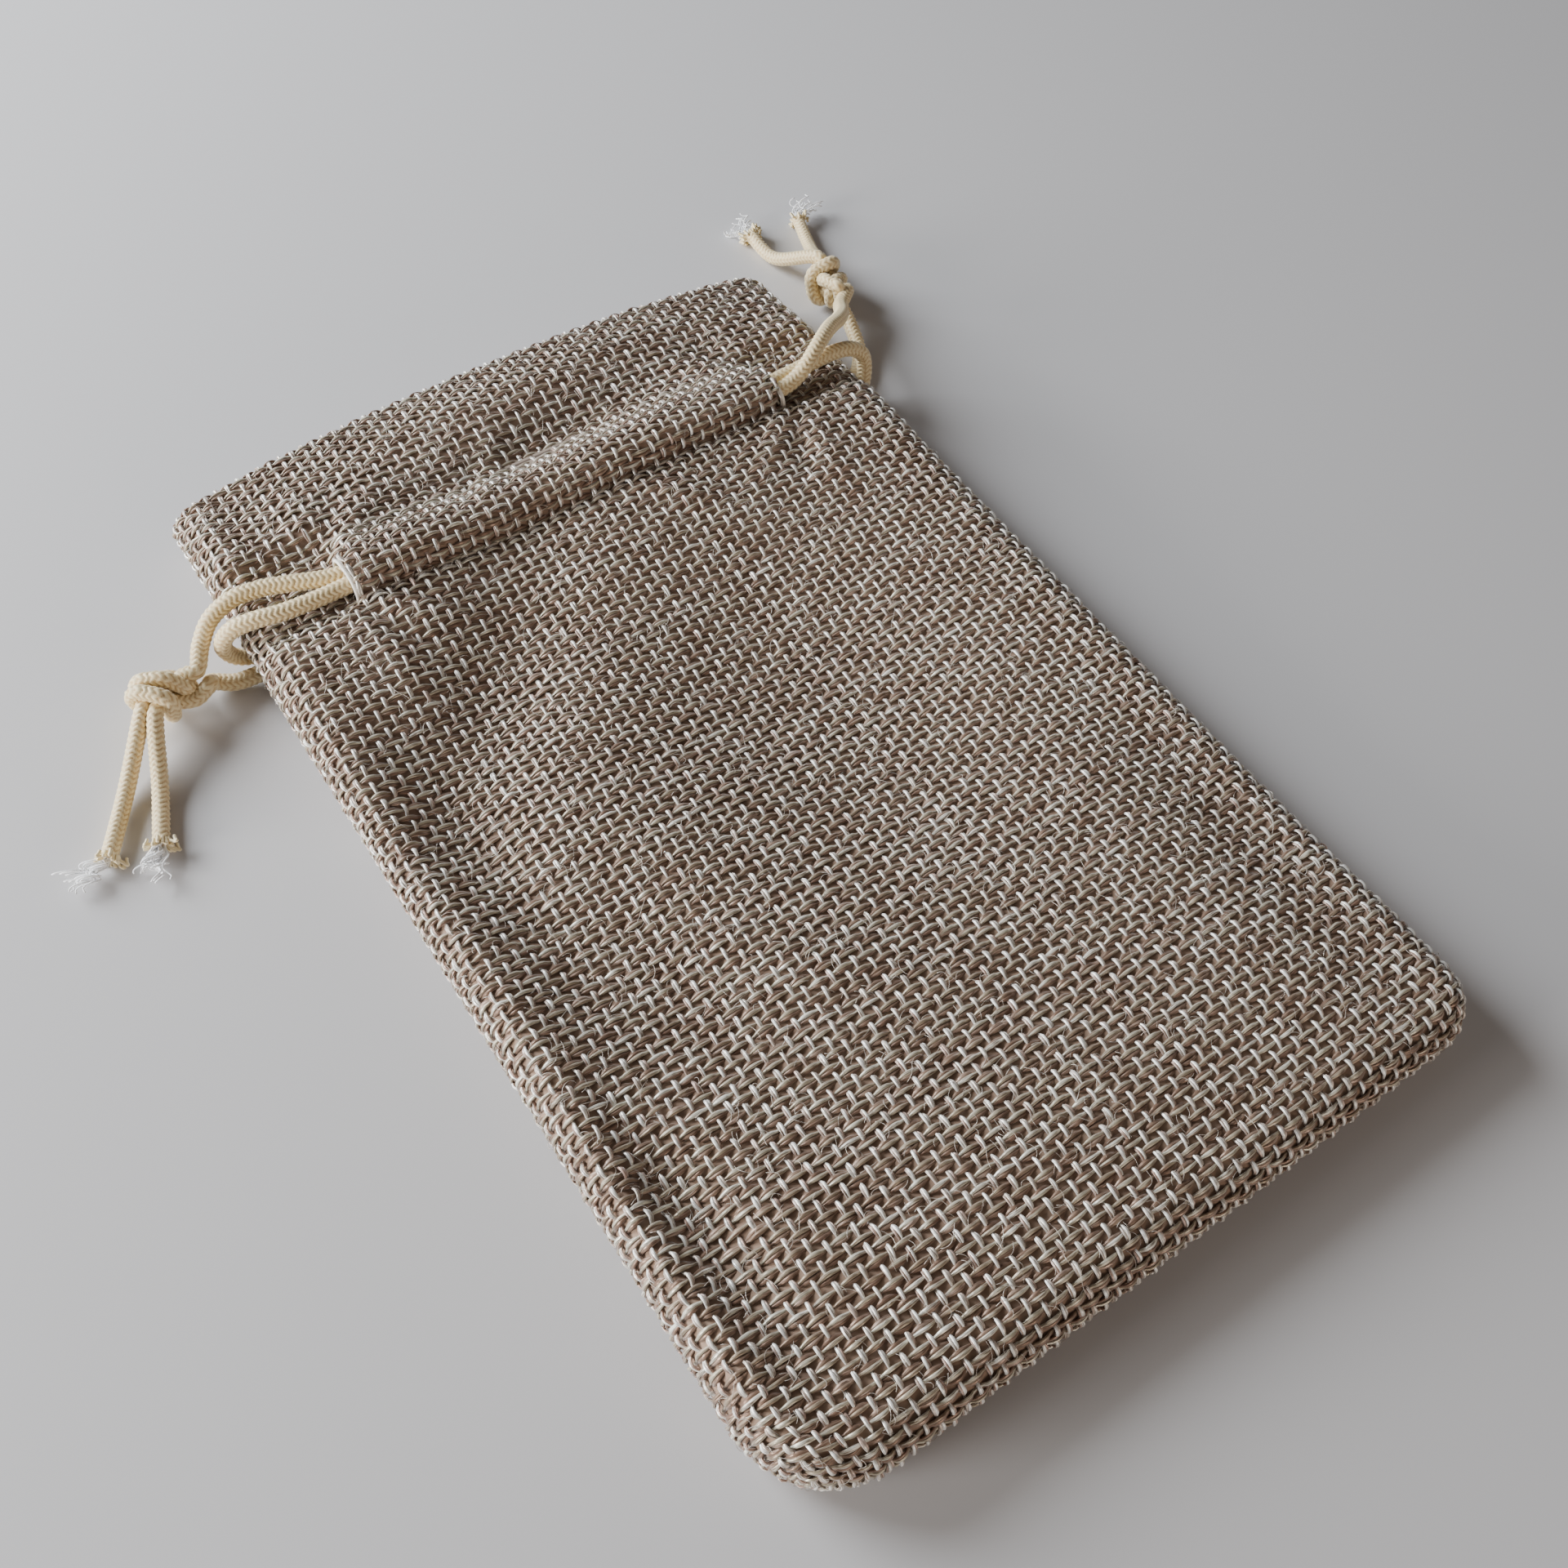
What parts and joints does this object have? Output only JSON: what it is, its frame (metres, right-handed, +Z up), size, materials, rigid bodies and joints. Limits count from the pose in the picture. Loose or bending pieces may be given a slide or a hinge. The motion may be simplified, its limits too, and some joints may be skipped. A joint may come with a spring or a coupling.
{
  "type": "drawstring gift pouch",
  "caption": "Flat drawstring gift pouch of coarse plain-weave cloth, with a stitched casing below its mouth and two knotted cords that pull from opposite sides.",
  "frame": {"origin": "middle of the bottom of the pouch's own box, cords left out, on the surface that the back panel lies on", "axes": "+Y from the bottom seam to the mouth, +Z up out of the front, +X to the right as seen from the front with the mouth up"},
  "size_m": [0.1477, 0.171, 0.0143],
  "materials": {
    "woven_cloth": "coarse plain weave of mottled taupe and cream spun yarns, with a slight sheen on the lengthwise floats",
    "cord": "round braided cream cord with a soft satin sheen",
    "cord_core": "loose white crimped core fibres",
    "sewing_thread": "fine matt thread"
  },
  "bodies": {
    "pouch": {"back_panel": "woven_cloth", "front_panel": "woven_cloth", "back_casing": "woven_cloth", "front_casing": "woven_cloth", "back_casing_lining": "woven_cloth", "front_casing_lining": "woven_cloth", "back_heading": "woven_cloth", "back_facing": "woven_cloth", "left_seam_allowance": "woven_cloth", "right_seam_allowance": "woven_cloth", "bottom_seam_allowance": "woven_cloth", "left_seam_stitches": "sewing_thread", "right_seam_stitches": "sewing_thread", "bottom_seam_stitches": "sewing_thread", "front_casing_stitches": "sewing_thread", "back_casing_stitches": "sewing_thread", "left_exit_tack": "sewing_thread", "right_exit_tack": "sewing_thread"},
    "mouth_front": {"front_heading": "woven_cloth", "front_facing": "woven_cloth"},
    "left_drawstring": {"left_drawstring": "cord", "left_knot": "cord"},
    "left_tails": {"left_outer_tail": "cord", "left_inner_tail": "cord", "left_outer_fray": "cord_core", "left_inner_fray": "cord_core"},
    "right_drawstring": {"right_drawstring": "cord", "right_knot": "cord"},
    "right_tails": {"right_outer_tail": "cord", "right_inner_tail": "cord", "right_outer_fray": "cord_core", "right_inner_fray": "cord_core"}
  },
  "joints": [
    {"name": "mouth_open", "type": "hinge", "parent": "pouch", "child": "mouth_front", "pos_m": [0, 0.0585, 0.0095], "axis": [1, 0, 0], "range_deg": [0, 25]},
    {"name": "left_pull", "type": "slide", "parent": "pouch", "child": "left_drawstring", "axis": [-1, 0, 0], "range_m": [0, 0.002]},
    {"name": "right_pull", "type": "slide", "parent": "pouch", "child": "right_drawstring", "axis": [1, 0, 0], "range_m": [0, 0.002]},
    {"name": "left_tails_swing", "type": "hinge", "parent": "left_drawstring", "child": "left_tails", "pos_m": [-0.0605, 0.05, 0.0042], "axis": [0, 0, 1], "range_deg": [-40, 40]},
    {"name": "right_tails_swing", "type": "hinge", "parent": "right_drawstring", "child": "right_tails", "pos_m": [0.0588, 0.0715, 0.0042], "axis": [0, 0, 1], "range_deg": [-40, 40]}
  ]
}
